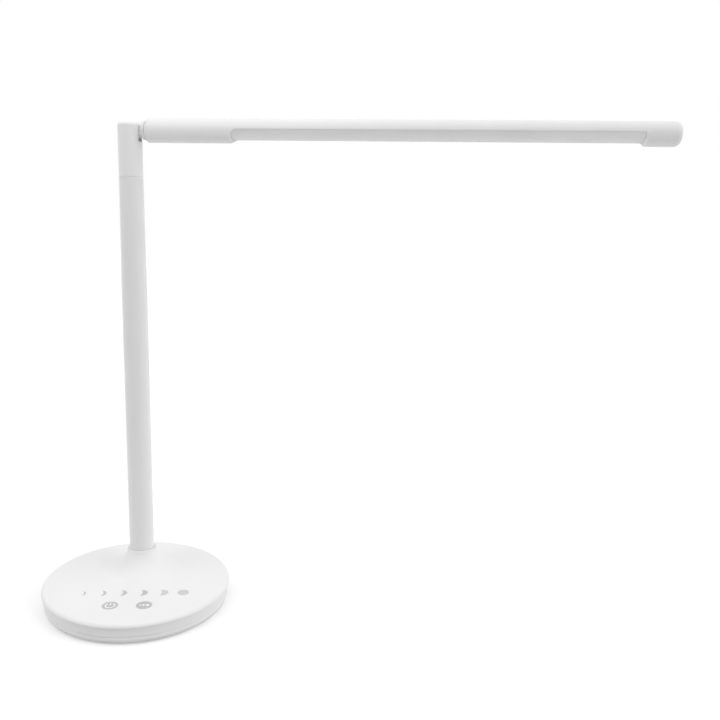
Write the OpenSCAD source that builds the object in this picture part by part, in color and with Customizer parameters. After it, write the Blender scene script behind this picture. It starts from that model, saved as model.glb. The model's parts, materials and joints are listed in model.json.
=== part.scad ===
// Folding LED desk lamp: a round weighted base with touch keys, a turning stem
// and a tubular light bar that folds at the stem's head and rolls about its own axis.
// Origin: centre of the base at table level. +Z up, base front towards -Y.

/* [Base] */
// Diameter of the base plate
base_d = 150; // [144:1:170]
// Height of the base's top face above the table
base_h = 17.5; // [17:0.5:22]
// Thickness of the plate edge that stands out over the skirt
lip_h = 2.8; // [2.6:0.1:3.6]
// How far the plate edge stands out over the skirt
lip_out = 1.4; // [0.8:0.1:2.4]
// Rounding of the plate's upper edge
lip_round = 0.8; // [0.3:0.1:1.2]
// Wall thickness of the base cover
cover_wall = 2.4; // [1.8:0.1:2.6]
// Height of the seam between the base cover and the base pan
seam_z = 7.2; // [6.4:0.1:7.6]
// How far the base pan draws in from its rim to its underside
pan_draft = 2; // [1:0.1:3]
// Floor thickness of the base pan
pan_floor = 2; // [1.6:0.1:2.2]
// Height that the rubber mat lifts the pan off the table
mat_show = 0.8; // [0.6:0.1:1.2]
// Gap from the pan's underside edge to the rubber mat
mat_inset = 5; // [4:0.5:7]
// Gap from the pan's screw bosses to the steel weight
weight_gap = 3.6; // [3:0.1:12]
// Thickness of the steel weight
weight_t = 5.5; // [4:0.1:5.6]

/* [Collar] */
// Distance of the stem's axis behind the base's centre
stem_y = 26; // [22:1:30]
// Height of the collar above the base's top face
collar_h = 16.8; // [14:0.1:19]
// Radius of the concave flare from the collar to the base's top face
flare_r = 22; // [20:0.5:24]
// Width of the collar's rim
collar_rim = 0.8; // [0.7:0.1:2]
// Bevel on the collar's rim
collar_bevel = 0.6; // [0.2:0.1:0.6]

/* [Icons] */
// Distance between neighbouring moon windows
moon_pitch = 16.2; // [14:0.1:17]
// Radius of a full moon window
moon_r = 4.4; // [3:0.1:5]
// Radius of the arc that shades a crescent
shade_r = 7; // [6:0.1:9]
// Lit width of each moon window, from thin crescent to full
moon_lit = [1.2, 2.2, 3.2, 3.8, 4.9, 8.8];
// Distance of the moon row in front of the base's centre
moon_row = 24.9; // [23:0.1:28]
// Distance of the key row in front of the base's centre
key_row = 44.9; // [43:0.1:48]
// Distance between the two touch keys
key_pitch = 26; // [20:0.5:30]
// Radius of a touch key
key_r = 6.1; // [5:0.1:6.8]

/* [Stem] */
// Outer diameter of the stem over its lower part
stem_d = 20; // [19:0.1:21]
// Outer diameter of the stem at its head
head_d = 18.7; // [18:0.1:19.6]
// Inner diameter of the stem tube
stem_bore_d = 16; // [15:0.1:16.4]
// Height over which the tube draws in to the head
taper_h = 90; // [40:1:120]
// Height of the seam between the tube and the head
head_seam_z = 341.8; // [330:0.1:344]
// Angle of the arm from the base's X axis
swivel_rest = -8; // [-30:1:30]
// Swivel travel to each side of the base's X axis
swivel_travel = 90; // [60:1:110]

/* [Hinge] */
// Height of the hinge axis above the table
pivot_z = 377; // [374:0.1:380]
// Height of the head's top above the hinge axis
head_rise = 6.3; // [5.5:0.1:6.8]
// Rounding of the head's top edge
head_round = 2.8; // [1.5:0.1:3.2]
// Radius of the knuckle and half height of the neck
neck_r = 6; // [5.6:0.1:6.2]
// Thickness of the tongue between the fork's cheeks
tongue_t = 7.8; // [7:0.1:8.2]
// Bevel along the neck's edges
neck_bevel = 2.4; // [0.8:0.1:2.8]
// Thickness of a friction washer
washer_t = 0.6; // [0.4:0.1:0.8]
// Diameter of the hinge screw's shank
hinge_pin_d = 5; // [4:0.1:5.6]
// Wall of the bush on the hinge screw
bush_wall = 1.2; // [1:0.1:1.4]
// Angle that the arm tips down from level
tilt_down = 12; // [5:1:12]
// Slope of the relief on the head's arm side
relief_slope = 5; // [4:0.5:6]
// Depth below the hinge axis at which the relief runs out
relief_drop = 13; // [12.5:0.5:16]

/* [Light bar] */
// Outer diameter of the light bar
bar_d = 18.5; // [18:0.1:19]
// Wall thickness of the light bar's housing
bar_wall = 1.6; // [1.4:0.1:1.8]
// Reach of the light bar's tip from the stem's axis
bar_reach = 413; // [400:1:450]
// Rounding of the light bar's tip
tip_round = 5; // [3:0.1:7]
// Radius of the elbow's flange
flange_r = 7.3; // [7:0.1:7.4]
// Distance of the elbow's flange from the hinge axis
flange_x = 11.2; // [11.1:0.1:12]
// Thickness of the elbow's flange
flange_t = 1.7; // [1.4:0.1:2.2]
// Diameter of the roll shaft
shaft_d = 8; // [7:0.1:8.4]
// Length of the roll shaft behind the flange
shaft_l = 16; // [15:0.5:20]
// Distance of the light window's near end from the stem's axis
window_x0 = 79.8; // [70:0.1:90]
// Distance of the light window's far end from the tip
window_margin = 23.6; // [20:0.1:40]
// Corner radius of the light window at the hinge end
window_r = 6.4; // [3:0.1:7]
// Corner radius of the light window at the tip end
window_tip_r = 3; // [2:0.1:7]
// Distance of the window's plane from the bar's axis
window_drop = 3.1; // [2.8:0.05:3.6]
// Crown of the diffuser over the window's plane
diffuser_crown = 1.7; // [0.8:0.1:2]
// Wall thickness of the diffuser
diffuser_t = 1.4; // [1.2:0.1:1.6]
// Roll of the bar from facing straight down, front way negative
roll_rest = -26; // [-60:1:60]
// Roll travel to each side of facing straight down
roll_travel = 90; // [60:1:110]

/* [Clearances] */
// Radial slack of a running fit
run_gap = 0.05; // [0.03:0.01:0.08]
// Radial slack of a glued or pressed joint
seat_gap = 0.05; // [0.02:0.01:0.1]
// Axial slack between faces that turn on each other
face_gap = 0.1; // [0.05:0.01:0.15]
// Space round parts that swing past each other
swing_gap = 0.2; // [0.15:0.05:0.4]
// Gap round the icon windows
icon_gap = 0.1; // [0.05:0.01:0.15]

/* [Hidden] */
$fn = 96;
eps = 0.01;
far = 60;

// Base cover and pan
base_r = base_d / 2;
skirt_r = base_r - lip_out;
lip_z = base_h - lip_h;
ceiling_z = base_h - cover_wall;
floor_z = mat_show + pan_floor;
rim_slip = 0.2;
pan_rim_r = skirt_r - cover_wall - rim_slip;
pan_rim_t = 1.6;
pan_rim_h = 2.2;
pan_edge = 1;

// Mat under the pan, and the screws under it that hold the cover and the pan together
screw_inset = 17;
screw_circle = base_r - screw_inset;
screw_angles = [45, 135, 225, 315];
mat_r = skirt_r - pan_draft - mat_inset;
mat_t = mat_show + 0.7;
mat_slip = 0.1;
mat_pocket_z = mat_t + mat_slip;
mat_edge = 0.3;
screw_head_r = 3;
screw_head_h = 1.8;
screw_shank_r = 1.4;
screw_slack = 0.2;
screw_seat_z = mat_pocket_z + screw_head_h + screw_slack;
pan_boss_r = 5.4;
pan_boss_z = screw_seat_z + 1.5;
cover_boss_r = 3.6;
screw_top_z = ceiling_z - 2;
weight_z = floor_z;
weight_r = screw_circle - pan_boss_r - weight_gap;
weight_top = weight_z + weight_t;

// Collar, swivel bush and spigot, from the web upwards and downwards
stem_r = stem_d / 2;
stem_bore_r = stem_bore_d / 2;
collar_z = base_h + collar_h;
collar_bore_r = stem_r + swing_gap;
flare_dip = 0.03;
flare_drop = flare_r - flare_dip - collar_h;
flare_foot_r = collar_bore_r + collar_rim + sqrt(flare_r * flare_r - flare_drop * flare_drop);
flare_z = base_h + flare_r - flare_dip;
collar_wall_r = collar_bore_r + cover_wall;
web_top = base_h + 1.5;
web_bottom = ceiling_z - 1.2;
rib_t = 1.6;
rib_count = 6;
swivel_shaft_r = 6;
swivel_bush_r = 8;
bush_flange_t = 1.2;
bush_flange_r = stem_r - 0.1;
spigot_flange_z = web_top + bush_flange_t + face_gap;
spigot_flange_t = 2;
tube_z = spigot_flange_z + spigot_flange_t;
spigot_plug_h = 18;
spigot_wire_r = 3.2;
stop_washer_t = 1.2;
stop_washer_r = 9.6;
stop_washer_z = web_bottom - face_gap - stop_washer_t;
stop_flat = swivel_shaft_r - 0.7;
stop_tab_r = 14.4;
stop_tab_w = 5;
stop_post_r = 1.6;
stop_post_circle = 12.8;
stop_post_low = stop_washer_z - 0.3;
stop_slack = 1;
stop_post_angle = 180 - swivel_travel - stop_slack
    - asin((stop_tab_w / 2 + stop_post_r) / stop_post_circle);
spring_washer_t = 0.9;
spring_washer_r = 9;
spring_washer_z = stop_washer_z - spring_washer_t;
nut_t = 3.6;
nut_flats = 16;
nut_z = spring_washer_z - nut_t;
spigot_low = nut_z - 0.5;
weight_hole_r = 12;

// Icons, keys and the board under them
moon_count = 6;
key_y = -key_row;
moon_y = -moon_row;
guide_t = 1.5;
guide_z = ceiling_z - guide_t;
guide_edge = 2;
guide_web = 12;
board_t = 1.6;
board_z = guide_z - 4.4;
board_top = board_z + board_t;
board_margin = 3;
board_r = pan_rim_r - pan_rim_t - 3.2;
board_x = max(2.5 * moon_pitch + moon_r + 2, screw_circle * sin(45) + cover_boss_r + 2.3);
board_front = -key_row - key_r - 2;
board_back = -moon_row + moon_r + 3;
board_boss_r = 2.4;
board_screw_r = 1;
board_screw_head_r = 2;
board_screw_head_h = 0.6;
board_screw_l = 4;
board_boss_back = [2 * moon_pitch, moon_y + 5.5];
board_boss_front = (screw_circle - 5.4) * [cos(46.8), -sin(46.8)];
led_size = [3, 2, 0.8];

// Battery and charging socket
battery_size = [60, 25, 5.4];
battery_y = -4;
battery_round = 2;
charge_board_z = seam_z + 0.9;
charge_board_t = 1.2;
charge_board_w = 28;
charge_notch = 8;
charge_board_y0 = weight_r + 1;
charge_board_y1 = skirt_r - 4;
charge_board_mid = (charge_board_y0 + charge_board_y1) / 2;
socket_size = [8.94, 7.4, 3.2];
socket_wall = 0.3;
socket_round = 1.25;
socket_inset = 0.6;
socket_z = charge_board_z + charge_board_t;
socket_slack = 0.35;
socket_tongue = [6.2, 4.6, 0.7];
charge_post_r = 2.5;
charge_post_x = 10;

// Head and hinge
head_r = head_d / 2;
head_top = pivot_z + head_rise;
head_plug_h = 16;
head_core_share = 0.29;
head_core_z = head_seam_z + head_core_share * (pivot_z - head_seam_z);
head_bore_r = 5.5;
seam_bevel = 0.25;
slot_w = tongue_t + 2 * washer_t + 2 * face_gap;
slot_r = neck_r + 0.3;
tilt_slack = 0.5;
wire_r = 1.6;
wire_slot = 2.4;
pin_r = hinge_pin_d / 2;
hinge_bush_r = pin_r + run_gap + bush_wall;
hinge_head_r = 3.7;
hinge_head_h = 1.5;
hinge_cap_t = 0.8;
hinge_cap_sink = 0.9;
hinge_cap_r = hinge_head_r + 0.2;
hinge_blind = head_r - 1.6;
hinge_seat = head_r - hinge_cap_sink - hinge_cap_t - hinge_head_h;
friction_r = neck_r - 0.6;

// Light bar, measured along its own axis from the stem's axis
bar_r = bar_d / 2;
bore_r = bar_r - bar_wall;
shaft_r = shaft_d / 2;
shaft_end = flange_x + flange_t + shaft_l;
cap_x = flange_x + flange_t + 0.3;
cap_cone = bar_r - flange_r;
cap_end = cap_x + cap_cone;
cap_plug_r = bore_r - seat_gap;
cap_plug_l = 10;
nib_r0 = shaft_r + 1.2;
nib_r1 = flange_r - 0.9;
nib_h = 1.2;
nib_angle = 16;
nib_slack = 1.2;
clip_t = 1;
clip_r = shaft_r + 2;
clip_groove = 0.6;
roll_washer_t = 0.8;
cap_back = cap_end + cap_plug_l;
window_x1 = bar_reach - window_margin;
bulkhead_t = 2.2;
tip_wall = 3;
ledge = 0.95;
ledge_z = -window_drop + ledge;
lens_slip = 0.06;
lens_inner_y = 6.7;
leg_t = 0.8;
leg_end = 9;
board2_t = 1.2;
board2_w = 13;
board2_z = 1.2;
sink_z = board2_z + board2_t;
sink_wall = 1.4;
sink_fin = 1.2;
sink_gap = 0.15;
sink_end = 1;
lead_r = 1.8;
chip = [2.8, 3.5, 0.7];
chip_count = 40;
chip_margin = 10;
chord = sqrt(bar_r * bar_r - window_drop * window_drop);
crown_r = (chord * chord + diffuser_crown * diffuser_crown) / (2 * diffuser_crown);
crown_z = crown_r - window_drop - diffuser_crown;

// ---------- places ----------

// Moves children to the stem's axis
module on_stem() {
    translate([0, stem_y, 0]) children();
}

// Moves children to the stem's axis, turned as the arm is
module on_turned_stem() {
    on_stem() rotate([0, 0, swivel_rest]) children();
}

// Local frame of the hinge: X along the arm, Y along the hinge axis, Z up
module at_hinge() {
    translate([0, 0, pivot_z]) on_turned_stem() children();
}

// Local frame of the rolled light bar: -Z is the way the light faces
module in_bar() {
    at_hinge() rotate([roll_rest, 0, 0]) children();
}

// Repeats children at the four cover screws
module at_cover_screws() {
    for (a = screw_angles) rotate([0, 0, a]) translate([screw_circle, 0, 0]) children();
}

// Repeats children at the four board screws
module at_board_screws() {
    for (p = [board_boss_back, board_boss_front], side = [-1, 1])
        translate([side * p[0], p[1], 0]) children();
}

// Repeats children under each moon and each key
module at_icons() {
    for (k = [1 : moon_count]) translate([moon_x(k), moon_y, 0]) children();
    at_keys() children();
}

// Repeats children at the two touch keys
module at_keys() {
    for (side = [-1, 1]) translate([side * key_pitch / 2, key_y, 0]) children();
}

function moon_x(k) = (k - (moon_count + 1) / 2) * moon_pitch;

// ---------- shared shapes ----------

// Flat ring or disc lying on z
module ring(r, bore, z, h) {
    translate([0, 0, z]) difference() {
        cylinder(r = r, h = h);
        if (bore > 0) translate([0, 0, -eps]) cylinder(r = bore, h = h + 2 * eps);
    }
}

// Profile of a disc with rounded outer edges, to be revolved
module rounded_profile(r, z0, z1, top, bottom) {
    intersection() {
        translate([0, z0]) square([r, z1 - z0]);
        union() {
            translate([0, z0 + bottom]) square([r, z1 - z0 - top - bottom]);
            translate([0, z1 - top - eps]) square([r - top, top + eps]);
            translate([0, z0]) square([r - bottom, bottom + eps]);
            translate([r - top, z1 - top]) circle(r = top);
            translate([r - bottom, z0 + bottom]) circle(r = bottom);
        }
    }
}

// Plan of the light window from x0 to x1, as wide as the bar, with round corners
module window_plan(grow) {
    r0 = window_r + grow;
    r1 = window_tip_r + grow;
    x0 = window_x0 - grow;
    x1 = window_x1 + grow;
    mid = (x0 + x1) / 2;
    translate([x0 + r0, -bar_r]) square([x1 - x0 - r0 - r1, 2 * bar_r]);
    translate([x0, r0 - bar_r]) square([mid - x0, 2 * (bar_r - r0)]);
    translate([mid, r1 - bar_r]) square([x1 - mid, 2 * (bar_r - r1)]);
    for (side = [-1, 1]) {
        translate([x0 + r0, side * (bar_r - r0)]) circle(r = r0);
        translate([x1 - r1, side * (bar_r - r1)]) circle(r = r1);
    }
}

// Rectangle with four equal corners, centred on the origin
module pill(w, h, r) {
    square([w - 2 * r, h], center = true);
    square([w, h - 2 * r], center = true);
    for (x = [-1, 1], y = [-1, 1]) translate([x * (w / 2 - r), y * (h / 2 - r)]) circle(r = r);
}

// Moon shape: a disc less the arc that shades it
module moon(k, grow) {
    lit = moon_lit[k - 1];
    difference() {
        circle(r = moon_r + grow);
        if (lit < 2 * moon_r) translate([moon_r - lit - shade_r, 0]) circle(r = shade_r - grow);
    }
}

// Turns a cylinder that stands on Z so that it runs along the bar
module along_x(x) {
    translate([x, 0, 0]) rotate([0, 90, 0]) children();
}

// ---------- base ----------

// Flare and collar, less the bore, as a solid round the stem
module flare() {
    on_stem() rotate_extrude() difference() {
        translate([0, base_h - 1]) square([flare_foot_r, collar_h + 1]);
        translate([flare_foot_r, flare_z]) circle(r = flare_r);
        translate([collar_bore_r + collar_rim, collar_z]) rotate(45)
            square(collar_bevel * sqrt(2), center = true);
    }
}

// Hollow under the flare, outside the collar's own wall
module flare_hollow() {
    on_stem() difference() {
        rotate_extrude() difference() {
            translate([collar_wall_r, ceiling_z - 1])
                square([flare_foot_r - collar_wall_r, collar_h]);
            translate([flare_foot_r, flare_z]) circle(r = flare_r + cover_wall);
        }
        for (a = [0 : 360 / rib_count : 359]) rotate([0, 0, a + 30])
            translate([0, -rib_t / 2, 0]) cube([flare_foot_r, rib_t, collar_z]);
    }
}

module base_cover() {
    color("white") difference() {
        union() {
            difference() {
                union() {
                    rotate_extrude() rounded_profile(base_r, lip_z, base_h, lip_round, 0.3);
                    translate([0, 0, seam_z]) cylinder(r = skirt_r, h = lip_z - seam_z + eps);
                    flare();
                }
                translate([0, 0, seam_z - eps])
                    cylinder(r = skirt_r - cover_wall, h = ceiling_z - seam_z + eps);
                flare_hollow();
            }
            on_stem() translate([0, 0, web_bottom]) cylinder(r = collar_wall_r, h = web_top - web_bottom);
            on_stem() for (side = [-1, 1]) rotate([0, 0, side * stop_post_angle])
                translate([stop_post_circle, 0, stop_post_low])
                    cylinder(r = stop_post_r, h = web_top - stop_post_low, $fn = 32);
            at_cover_screws() translate([0, 0, pan_boss_z])
                cylinder(r = cover_boss_r, h = ceiling_z - pan_boss_z + eps, $fn = 48);
            at_board_screws() translate([0, 0, board_top])
                cylinder(r = board_boss_r, h = ceiling_z - board_top + eps, $fn = 32);
        }
        on_stem() translate([0, 0, web_top]) cylinder(r = collar_bore_r, h = collar_z);
        on_stem() cylinder(r = swivel_bush_r + seat_gap, h = collar_z);
        for (k = [1 : moon_count]) translate([moon_x(k), moon_y, 0])
            linear_extrude(far) moon(k, icon_gap);
        at_keys() cylinder(r = key_r + icon_gap, h = far);
        at_cover_screws() cylinder(r = screw_shank_r + seat_gap, h = screw_top_z + 0.5, $fn = 32);
        at_board_screws() cylinder(r = board_screw_r + seat_gap, h = ceiling_z - 1, $fn = 32);
        socket_hole();
    }
}

// Slot for the socket through the rear wall
module socket_hole() {
    translate([0, base_r + 1, socket_z + socket_size[2] / 2]) rotate([90, 0, 0])
        linear_extrude(lip_out + cover_wall + 3)
            pill(socket_size[0] + 2 * socket_slack, socket_size[2] + 2 * socket_slack,
                socket_round + socket_slack);
}

module base_pan() {
    color("white") difference() {
        union() {
            difference() {
                pan_body();
                translate([0, 0, floor_z]) cylinder(r = pan_rim_r - pan_rim_t, h = far);
            }
            at_cover_screws() translate([0, 0, mat_show + eps])
                cylinder(r = pan_boss_r, h = pan_boss_z - mat_show - eps, $fn = 48);
            for (side = [-1, 1]) translate([side * charge_post_x, charge_board_mid, mat_show + eps])
                cylinder(r = charge_post_r, h = charge_board_z - mat_show - eps, $fn = 32);
        }
        translate([0, 0, -eps]) cylinder(r = mat_r + mat_slip, h = mat_pocket_z + eps);
        at_cover_screws() {
            cylinder(r = screw_head_r + screw_slack, h = screw_seat_z);
            cylinder(r = screw_shank_r + screw_slack, h = far, $fn = 32);
        }
        translate([-charge_board_w / 2 - 1, skirt_r - cover_wall - charge_notch, seam_z])
            cube([charge_board_w + 2, far, far]);
    }
}

// Outside of the pan: drawn-in wall, rounded lower edge and the rim inside the skirt
module pan_body() {
    low_r = skirt_r - pan_draft;
    translate([0, 0, mat_show + pan_edge])
        cylinder(r1 = low_r, r2 = skirt_r, h = seam_z - mat_show - pan_edge);
    rotate_extrude() rounded_profile(low_r, mat_show, mat_show + 3 * pan_edge, pan_edge, pan_edge);
    translate([0, 0, mat_show + pan_edge]) cylinder(r = pan_rim_r, h = seam_z + pan_rim_h - mat_show - pan_edge);
}

module weight_plate() {
    color("silver") difference() {
        ring(weight_r, 0, weight_z, weight_t);
        on_stem() translate([0, 0, weight_z - eps]) cylinder(r = weight_hole_r, h = weight_t + 1);
    }
}

// Round mat in the pan's recess, over the cover screws
module rubber_mat() {
    color("dimgray") rotate_extrude() difference() {
        square([mat_r, mat_t]);
        translate([mat_r, 0]) rotate(45) square(mat_edge * sqrt(2), center = true);
    }
}

module cover_screws() {
    color("silver") at_cover_screws() {
        ring(screw_head_r, 0, screw_seat_z - screw_head_h, screw_head_h);
        ring(screw_shank_r, 0, screw_seat_z - eps, screw_top_z - screw_seat_z, $fn = 32);
    }
}

module moon_window(k) {
    color(k < 5 ? "gray" : "darkgray") translate([moon_x(k), moon_y, ceiling_z])
        linear_extrude(cover_wall) moon(k, 0);
}

module key(side) {
    color("dimgray") translate([side * key_pitch / 2, key_y, ceiling_z])
        cylinder(r = key_r, h = cover_wall);
}

// Clear plate that carries light from the board to the icon windows
module light_guide() {
    moon_w = 2 * (2.5 * moon_pitch + moon_r + guide_edge);
    key_w = key_pitch + 2 * (key_r + guide_edge);
    moon_h = 2 * (moon_r + guide_edge);
    key_h = 2 * (key_r + guide_edge);
    color("gainsboro") translate([0, 0, guide_z]) difference() {
        linear_extrude(guide_t) {
            translate([0, moon_y]) square([moon_w, moon_h], center = true);
            translate([0, key_y]) square([key_w, key_h], center = true);
            translate([-guide_web / 2, key_y]) square([guide_web, moon_y - key_y]);
        }
        at_board_screws() translate([0, 0, -eps])
            cylinder(r = board_boss_r + icon_gap, h = guide_t + 1, $fn = 32);
    }
}

module indicator_leds() {
    color("khaki") at_icons() translate([0, 0, board_top + led_size[2] / 2])
        cube(led_size, center = true);
}

// Rings of conductive foam between the board and the keys' light guide
module key_electrodes() {
    color("dimgray") at_keys() ring(key_r, key_r - 2, board_top, guide_z - board_top);
}

module control_board() {
    color("green") translate([0, 0, board_z]) difference() {
        linear_extrude(board_t) intersection() {
            translate([-board_x, board_front]) square([2 * board_x, board_back - board_front]);
            circle(r = board_r);
        }
        at_board_screws() translate([0, 0, -eps])
            cylinder(r = board_screw_r + seat_gap, h = far, $fn = 32);
        at_cover_screws() translate([0, 0, -eps]) cylinder(r = cover_boss_r + 0.5, h = far, $fn = 48);
    }
}

module board_screws() {
    color("silver") at_board_screws() {
        ring(board_screw_head_r, 0, board_z - board_screw_head_h, board_screw_head_h, $fn = 32);
        ring(board_screw_r, 0, board_z - eps, board_screw_l, $fn = 32);
    }
}

module battery_pack() {
    color("steelblue") translate([0, battery_y, weight_top])
        linear_extrude(battery_size[2]) pill(battery_size[0], battery_size[1], battery_round);
}

module charge_board() {
    color("green") translate([-charge_board_w / 2, charge_board_y0, charge_board_z])
        cube([charge_board_w, charge_board_y1 - charge_board_y0, charge_board_t]);
}

// Shell and tongue of the charging socket
module charge_socket() {
    mouth_y = skirt_r - socket_inset;
    mid_z = socket_z + socket_size[2] / 2;
    color("silver") translate([0, mouth_y, mid_z]) rotate([90, 0, 0]) {
        difference() {
            linear_extrude(socket_size[1]) pill(socket_size[0], socket_size[2], socket_round);
            translate([0, 0, -eps]) linear_extrude(socket_size[1] - 1)
                pill(socket_size[0] - 2 * socket_wall, socket_size[2] - 2 * socket_wall, socket_round - socket_wall);
        }
        translate([-socket_tongue[0] / 2, -socket_tongue[2] / 2, socket_size[1] - 1 - socket_tongue[1]])
            cube([socket_tongue[0], socket_tongue[2], socket_tongue[1] + eps]);
    }
}

module swivel_bush() {
    color("ivory") on_stem() difference() {
        union() {
            ring(bush_flange_r, 0, web_top, bush_flange_t);
            ring(swivel_bush_r, 0, web_bottom, web_top - web_bottom + eps);
        }
        cylinder(r = swivel_shaft_r + run_gap, h = far);
    }
}

// ---------- stem ----------

module stem_tube() {
    color("white") on_turned_stem() difference() {
        union() {
            translate([0, 0, tube_z]) cylinder(r = stem_r, h = head_seam_z - taper_h - tube_z + eps);
            translate([0, 0, head_seam_z - taper_h]) cylinder(r1 = stem_r, r2 = head_r, h = taper_h);
        }
        translate([0, 0, tube_z - eps]) cylinder(r = stem_bore_r, h = head_seam_z);
        translate([0, 0, head_seam_z]) seam_groove();
    }
}

// V groove round the seam between the tube and the head
module seam_groove() {
    rotate_extrude() translate([head_r + 0.15, 0]) circle(r = seam_bevel + 0.15, $fn = 24);
}

module stem_spigot() {
    color("silver") on_turned_stem() difference() {
        union() {
            ring(stem_bore_r - seat_gap, 0, tube_z - eps, spigot_plug_h);
            ring(stem_r - 0.1, 0, spigot_flange_z, spigot_flange_t);
            spigot_shaft();
        }
        cylinder(r = spigot_wire_r, h = far);
    }
}

// Shaft through the bush, with a flat that keys the stop washer
module spigot_shaft() {
    difference() {
        ring(swivel_shaft_r, 0, spigot_low, spigot_flange_z - spigot_low + eps);
        translate([-far, stop_flat, spigot_low - eps]) cube([2 * far, far, web_bottom - face_gap - spigot_low]);
    }
}

module stop_washer() {
    color("silver") on_turned_stem() translate([0, 0, stop_washer_z]) difference() {
        union() {
            cylinder(r = stop_washer_r, h = stop_washer_t);
            translate([-stop_tab_r, -stop_tab_w / 2, 0]) cube([stop_tab_r, stop_tab_w, stop_washer_t]);
        }
        translate([0, 0, -eps]) linear_extrude(far) difference() {
            circle(r = swivel_shaft_r + seat_gap);
            translate([-far, stop_flat + seat_gap]) square([2 * far, far]);
        }
    }
}

module spring_washer() {
    color("dimgray") on_turned_stem()
        ring(spring_washer_r, swivel_shaft_r + seat_gap, spring_washer_z, spring_washer_t);
}

module swivel_nut() {
    color("goldenrod") on_turned_stem() translate([0, 0, nut_z]) difference() {
        cylinder(r = nut_flats / sqrt(3), h = nut_t, $fn = 6);
        translate([0, 0, -eps]) cylinder(r = swivel_shaft_r + seat_gap, h = far);
    }
}

// ---------- head and hinge ----------

// Side view of the slot: room for the knuckle, for the neck tipped down and upright
module slot_profile() {
    circle(r = slot_r);
    translate([-slot_r, 0]) square([far, far]);
    rotate(-tilt_down - tilt_slack) translate([0, -slot_r]) square([far, 2 * slot_r]);
}

module stem_head() {
    color("white") difference() {
        union() {
            on_turned_stem() rotate_extrude()
                rounded_profile(head_r, head_seam_z, head_top, head_round, eps);
            on_turned_stem() ring(stem_bore_r - seat_gap, 0, head_seam_z - head_plug_h, head_plug_h + eps);
        }
        on_turned_stem() {
            cylinder(r = head_bore_r, h = head_core_z);
            cylinder(r = lead_r, h = pivot_z);
            translate([0, 0, head_seam_z]) seam_groove();
        }
        at_hinge() {
            rotate([90, 0, 0]) translate([0, 0, -slot_w / 2]) linear_extrude(slot_w) slot_profile();
            translate([head_r, -far / 2, -relief_drop]) rotate([0, -relief_slope, 0]) cube([far, far, far]);
            rotate([90, 0, 0]) translate([0, 0, -far]) cylinder(r = pin_r + seat_gap, h = far + hinge_blind, $fn = 48);
            translate([0, hinge_seat, 0]) rotate([-90, 0, 0]) cylinder(r = hinge_cap_r + seat_gap, h = far);
        }
    }
}

// Screw that is the hinge's pin, put in from the rear cheek
module hinge_screw() {
    color("silver") at_hinge() {
        rotate([90, 0, 0]) translate([0, 0, -hinge_seat - eps])
            cylinder(r = pin_r, h = hinge_seat + hinge_blind, $fn = 48);
        translate([0, hinge_seat, 0]) rotate([-90, 0, 0]) cylinder(r = hinge_head_r, h = hinge_head_h);
    }
}

// Cap that closes the screw's pocket flush with the head
module hinge_cap() {
    cap_y = hinge_seat + hinge_head_h + 0.1;
    color("white") at_hinge() intersection() {
        translate([0, cap_y, 0]) rotate([-90, 0, 0]) cylinder(r = hinge_cap_r, h = far);
        translate([0, 0, -far / 2]) cylinder(r = head_r, h = far);
    }
}

// Tongue with its knuckle, the neck, the flange and the shaft that the bar rolls on
module elbow() {
    color("white") at_hinge() difference() {
        union() {
            rotate([90, 0, 0]) translate([0, 0, -tongue_t / 2]) linear_extrude(tongue_t) {
                circle(r = neck_r);
                translate([0, -neck_r]) square([neck_r, 2 * neck_r]);
            }
            along_x(neck_r - eps) linear_extrude(flange_x - neck_r + 2 * eps) neck_section();
            along_x(flange_x) cylinder(r = flange_r, h = flange_t);
            along_x(flange_x + flange_t - eps) cylinder(r = shaft_r, h = shaft_l);
            stop_nib();
        }
        rotate([90, 0, 0]) translate([0, 0, -far / 2])
            cylinder(r = hinge_bush_r + seat_gap, h = far, $fn = 48);
        along_x(hinge_bush_r + 1) cylinder(r = wire_r, h = far, $fn = 32);
        translate([hinge_bush_r + 1.2, -wire_slot / 2, -neck_r - 1]) cube([3, wire_slot, neck_r + 1]);
        along_x(0) clip_groove_cut();
    }
}

// Section of the neck, with its four long edges bevelled
module neck_section() {
    t = tongue_t / 2;
    r = neck_r;
    b = neck_bevel;
    polygon([[-r, b - t], [-r, t - b], [b - r, t], [r - b, t], [r, t - b], [r, b - t], [r - b, -t], [b - r, -t]]);
}

// Nib on the flange's back that meets the ends of the end cap's groove
module stop_nib() {
    along_x(flange_x + flange_t - eps) rotate([0, 0, -nib_angle / 2]) rotate_extrude(angle = nib_angle)
            translate([nib_r0, 0]) square([nib_r1 - nib_r0, nib_h]);
}

// Groove for the clip near the roll shaft's end
module clip_groove_cut() {
    difference() {
        ring(far, 0, cap_back + roll_washer_t + 2 * face_gap, clip_t + face_gap);
        translate([0, 0, cap_back - 2]) cylinder(r = shaft_r - clip_groove, h = shaft_l);
    }
}

module hinge_bush() {
    color("goldenrod") at_hinge() rotate([90, 0, 0])
        ring(hinge_bush_r, pin_r + run_gap, -tongue_t / 2, tongue_t);
}

module friction_washers() {
    color("dimgray") at_hinge() for (side = [0, 1]) mirror([0, side, 0]) rotate([90, 0, 0])
        ring(friction_r, pin_r + run_gap, tongue_t / 2, washer_t);
}

module roll_washer() {
    color("ivory") at_hinge() along_x(cap_back + face_gap)
        ring(clip_r, shaft_r + seat_gap, 0, roll_washer_t);
}

module roll_clip() {
    color("silver") at_hinge() along_x(cap_back + roll_washer_t + 2 * face_gap + face_gap / 2) difference() {
        ring(clip_r, shaft_r - clip_groove + seat_gap, 0, clip_t);
        translate([0, -1.5, -eps]) cube([far, 3, far]);
    }
}

// ---------- light bar ----------

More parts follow.
